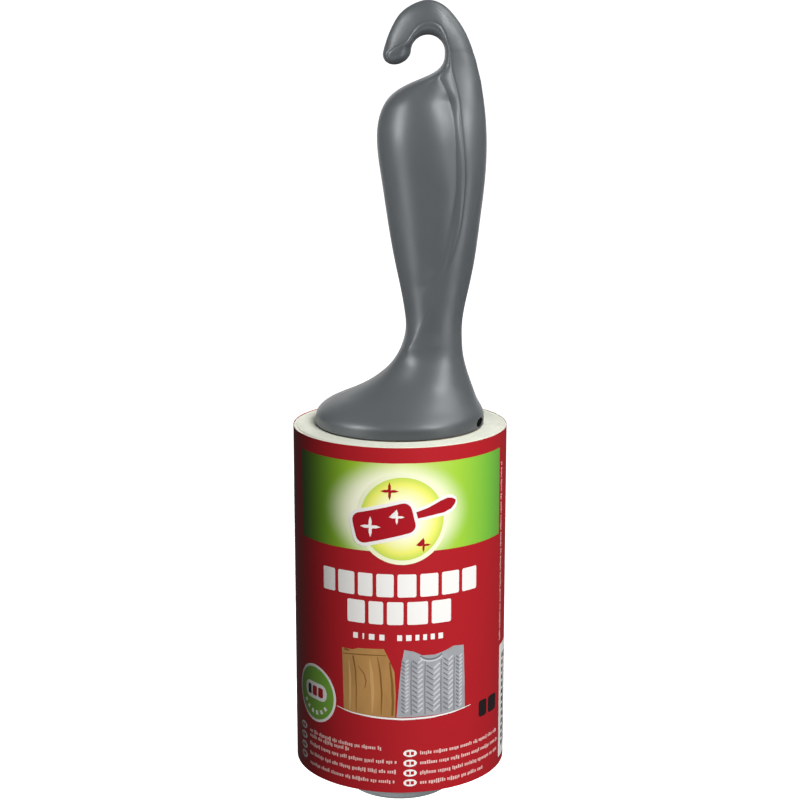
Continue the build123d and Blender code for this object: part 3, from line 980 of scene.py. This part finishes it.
def print_back(white, red):
    """Steps for use, a tear line and small print round the back."""
    discs, marks, lines = [], [], []
    for step, across in enumerate((-82.0, -66.0, -50.0)):
        discs.append(oval(across, 78.0, 6.4, count=56))
        lines += small_print(across - 6.0, across + 5.0, 68.2, 0.95, 61 + step)
        lines += small_print(across - 6.0, across + 3.0, 66.2, 0.95, 71 + step)
    handle = stroke([(-79.2, 77.9), (-77.6, 77.9), (-76.8, 77.9)], [0.9, 1.3, 1.1])
    for shape in (oblong(-85.6, 76.0, -79.4, 79.6, 1.0), handle):
        marks.append(turned(shape, (-82.0, 78.0), 20))
    marks.append(oblong(-70.2, 75.4, -66.6, 80.6, 0.6))
    marks.append([(-65.8, 80.6), (-62.0, 79.2), (-62.6, 77.0), (-65.8, 76.2)])
    marks.append(stroke([(-54.0, 76.0), (-51.0, 79.6), (-47.0, 80.0)], 0.9))
    marks.append(stroke([(-53.4, 74.6), (-50.0, 77.6), (-46.4, 78.0)], 0.5))
    lines += paragraph(-88.0, -44.0, 56.0, 7, (0, 6, 12), 81)
    lines += paragraph(66.0, 90.0, 92.0, 9, (0, 4, 8), 101)
    lines += paragraph(-88.0, -46.0, 24.0, 6, (0, 5), 121)
    tear = [oblong(-90.6, 4.0 + 3.2 * i, -90.2, 5.8 + 3.2 * i) for i in range(29)]
    arrow = [(70.0, 46.0), (78.0, 46.0), (78.0, 43.4), (84.0, 48.0),
             (78.0, 52.6), (78.0, 50.0), (70.0, 50.0)]
    band = oblong(66.0, 30.0, 91.0, 37.0, 1.0)
    marks += letter_blocks(68.0, 89.0, 32.0, 3.0, [3, 2, 4, 3, 2, 4], 0.8, 0.3)
    return [printed("back_discs", discs + tear + [arrow, band], 1, white),
            printed("back_pictograms", marks, 2, red),
            printed("back_print", lines, 1, ink("back_white_ink", (232, 214, 208)))]


def print_artwork(red_colour):
    """Everything printed on the wrap."""
    white = ink("white_ink", (240, 238, 234))
    red = ink("dark_red_ink", (166, 22, 34))
    black = ink("black_ink", (34, 26, 28))
    pieces = [printed("panel", [oblong(*PANEL)], 1, panel_ink_and_painted_shade()), print_headings(white), print_mark(black)]
    pieces += print_emblem(white, red)
    pieces += print_garments(white)
    pieces += print_badge(white, red, black)
    pieces += print_small_lines(white, ink("code_ink", red_colour))
    pieces += print_barcode(white, black)
    pieces += print_back(white, ink("back_red_ink", red_colour))
    return pieces


# -------- nose cap
def nose_cap():
    """Dished cap under the roll, with a moulding ring and gate mark on its flat."""
    shoulder, rim, seat = 16.5, 22.4, ROLL_LOW - 0.3
    edge, wall, snap, bead = 3.0, 1.5, 20.6, 20.8
    profile = [(0, 0.35), (1.1, 0.35), (1.3, 0.0), (9.6, 0.0), (9.8, 0.3), (10.4, 0.3), (10.6, 0.0)]
    profile += arc_points((shoulder - edge, edge), edge, -90, -2, 16)
    profile += arc_points((shoulder + 0.5, edge + 0.35), 0.5, 180, 135, 6)
    profile += arc_points((rim - 0.9, seat - 0.9), 0.9, -45, 20, 8)
    profile += arc_points((rim - 0.4, seat - 0.4), 0.4, 25, 90, 6)
    profile += [
        (snap, seat), (snap, 12.6), (bead, 13.4), (snap, 14.2), (snap, 15.1), (snap - 0.3, 15.4),
        (snap - wall, 15.4), (snap - wall, seat - 0.6), (shoulder - wall, 4.1), (shoulder - wall, wall),
        (0, wall),
    ]
    piece = lathe("nose_cap_skin", profile)
    sharpen(piece, 30)
    return piece


# -------- build
grey_plastic = moulded_plastic("grey_plastic", srgb(71, 74, 76), 0.37, 0.45)
front_half = dress(handle_shell("handle_front", 1), grey_plastic)
cut(front_half, notch_prism("notch_cutter", NOTCH_CUT))
rear_half = dress(handle_shell("handle_rear", -1), grey_plastic)
for half, node in ((front_half, "handle_front_shell"), (rear_half, "handle_rear_shell")):
    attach(half, "handle")
    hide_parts(node)

# Painted shade: a near-black piece just inside the hole stands for the dark within it.
hole_painted_shade = moulded_plastic("hole_painted_shade", srgb(8, 8, 7), 0.75, 0.85, ior=1.1)
hole_floor = dress(notch_prism("skirt_hole_floor", NOTCH_FLOOR, NOTCH_BITE), hole_painted_shade)
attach(hole_floor, "handle")

cap = dress(nose_cap(), moulded_plastic("cap_grey", srgb(124, 128, 130), 0.38, 0.48))
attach(cap, "spindle")
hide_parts("nose_cap")

sheets = dress(paper_spiral(), paper("sheet_cream", srgb(214, 216, 202)))
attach(sheets, "refill")
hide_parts(*[f"sheet_{number:02d}" for number in range(1, TURNS + 1)])

WRAP_RED = (172, 30, 38)
wrap = dress(film_wrap(), ink("wrap_red", WRAP_RED))
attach(wrap, "refill")
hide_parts("printed_wrap")
artwork = print_artwork(WRAP_RED)
for piece in artwork:
    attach(piece, "refill")

for node, material in (
    ("core_tube", board("core_grey", srgb(176, 160, 138))),
    ("spindle_cage", moulded_plastic("cage_white", srgb(176, 178, 177), 0.35, 0.45)),
    ("axle", moulded_plastic("axle_grey", srgb(150, 154, 156), 0.3, 0.4)),
    ("axle_clip", spring_steel("clip_steel")),
):
    dress(bpy.data.objects[node], material)


# -------- studio
def backdrop():
    """A pale floor, wall and ceiling that only the camera sees, well clear of the refill's travel."""
    floor, ceiling, flat, bend, middle = -750.0, 4000.0, 3000.0, 1500.0, 400.0
    profile = [(middle, floor)]
    profile += arc_points((flat, floor + bend), bend, -90, 0, 16)
    profile += arc_points((flat, ceiling - bend), bend, 0, 90, 16)
    profile.append((middle, ceiling))
    columns, segments = len(profile), 64
    faces = grid_faces(segments, columns, wrap_rows=True)
    faces += [tuple(columns * i + end for i in range(segments)) for end in (0, columns - 1)]
    sweep = make_object("backdrop", revolve(profile, segments), faces)
    shader = Shader("backdrop_white")
    shader.set("Base Color", (0.9, 0.9, 0.9, 1))
    shader.set("Roughness", 0.9)
    shader.set("Specular IOR Level", 0.0)
    shader.set("Emission Color", (1, 1, 1, 1))
    shader.set("Emission Strength", 0.86)
    sweep.visible_diffuse = False
    sweep.visible_glossy = False
    sweep.visible_shadow = False
    dress(sweep, shader.material)
    return sweep


# What each lamp lights, its colour, its azimuth from the camera's side to its right and its elevation in
# degrees, its distance, width and height in metres, and its power in watts
WHITE = (1.0, 1.0, 1.0)
COOL = (0.97, 0.99, 1.0)
LAMPS = {
    "floor_light": ("floor", WHITE, 0, 90, 2.2, 3.0, 3.0, 130),
    "roll_key": ("roll", WHITE, 28, 40, 1.2, 0.5, 0.5, 23),
    "roll_back": ("roll", WHITE, 180, 15, 1.2, 0.6, 0.6, 9),
    "roll_bounce": ("roll", WHITE, 0, -80, 1.5, 1.0, 1.0, 4),
    "handle_right": ("rest", COOL, 54, 36, 1.1, 0.24, 0.75, 13),
    "handle_side": ("rest", COOL, 96, 52, 1.1, 0.4, 0.7, 6),
    "handle_left": ("rest", COOL, -63, 25, 1.1, 0.28, 0.8, 14),
    "handle_low_left": ("rest", COOL, -62, -18, 1.1, 0.4, 0.8, 4.2),
    "handle_low_right": ("rest", COOL, 60, -18, 1.1, 0.4, 0.8, 4.6),
    "handle_front": ("rest", WHITE, 0, 20, 1.5, 1.6, 0.8, 0.8),
    "handle_bounce": ("rest", WHITE, 0, -60, 1.5, 1.5, 1.5, 11),
    "handle_back": ("rest", WHITE, 180, 10, 2.0, 2.4, 1.6, 15),
}
LAMP_TARGET = Vector((0, 0, 0.125))
WORLD_STRENGTH = 0.06


def softbox(name, receivers, colour, azimuth, elevation, distance, width, height, power):
    """A rectangular light aimed at the object that falls only on its receivers and isn't seen itself."""
    data = bpy.data.lights.new(name, "AREA")
    data.shape = "RECTANGLE"
    data.size = width
    data.size_y = height
    data.energy = power
    data.color = colour
    lamp = bpy.data.objects.new(name, data)
    a, e = math.radians(azimuth), math.radians(elevation)
    away = Vector((math.sin(a) * math.cos(e), -math.cos(a) * math.cos(e), math.sin(e)))
    lamp.location = LAMP_TARGET + away * distance
    lamp.rotation_mode = "QUATERNION"
    lamp.rotation_quaternion = away.to_track_quat("Z", "Y")
    lamp.visible_camera = False
    bpy.context.scene.collection.objects.link(lamp)
    group = bpy.data.collections.new(name + "_receivers")
    for receiver in receivers:
        group.objects.link(receiver)
    lamp.light_linking.receiver_collection = group


def studio(pieces):
    """Soft light: one set of lamps for the roll, one for the rest, and one above for the floor."""
    world = bpy.data.worlds.new("studio")
    world.use_nodes = True
    background = world.node_tree.nodes["Background"]
    background.inputs["Color"].default_value = (1, 1, 1, 1)
    background.inputs["Strength"].default_value = WORLD_STRENGTH
    bpy.context.scene.world = world
    for name, (lit, *settings) in LAMPS.items():
        softbox(name, pieces[lit], *settings)


CAMERA_PLACE = (0, -0.5242, 0.2335)
CAMERA_DIP = 12.45
CAMERA_LENS = 83.34


def camera():
    """The viewpoint: half a metre in front, looking a little down."""
    data = bpy.data.cameras.new("camera")
    data.sensor_width = 36
    data.lens = CAMERA_LENS
    data.clip_end = 100
    viewpoint = bpy.data.objects.new("camera", data)
    viewpoint.location = CAMERA_PLACE
    viewpoint.rotation_euler = (math.radians(90 - CAMERA_DIP), 0, 0)
    bpy.context.scene.collection.objects.link(viewpoint)
    bpy.context.scene.camera = viewpoint


studio({
    "floor": [backdrop()],
    "roll": [sheets, wrap, *artwork, bpy.data.objects["core_tube"]],
    "rest": [front_half, rear_half, hole_floor, cap]
    + [bpy.data.objects[node] for node in ("spindle_cage", "axle", "axle_clip")],
})
camera()
bpy.context.scene.view_settings.view_transform = "Standard"
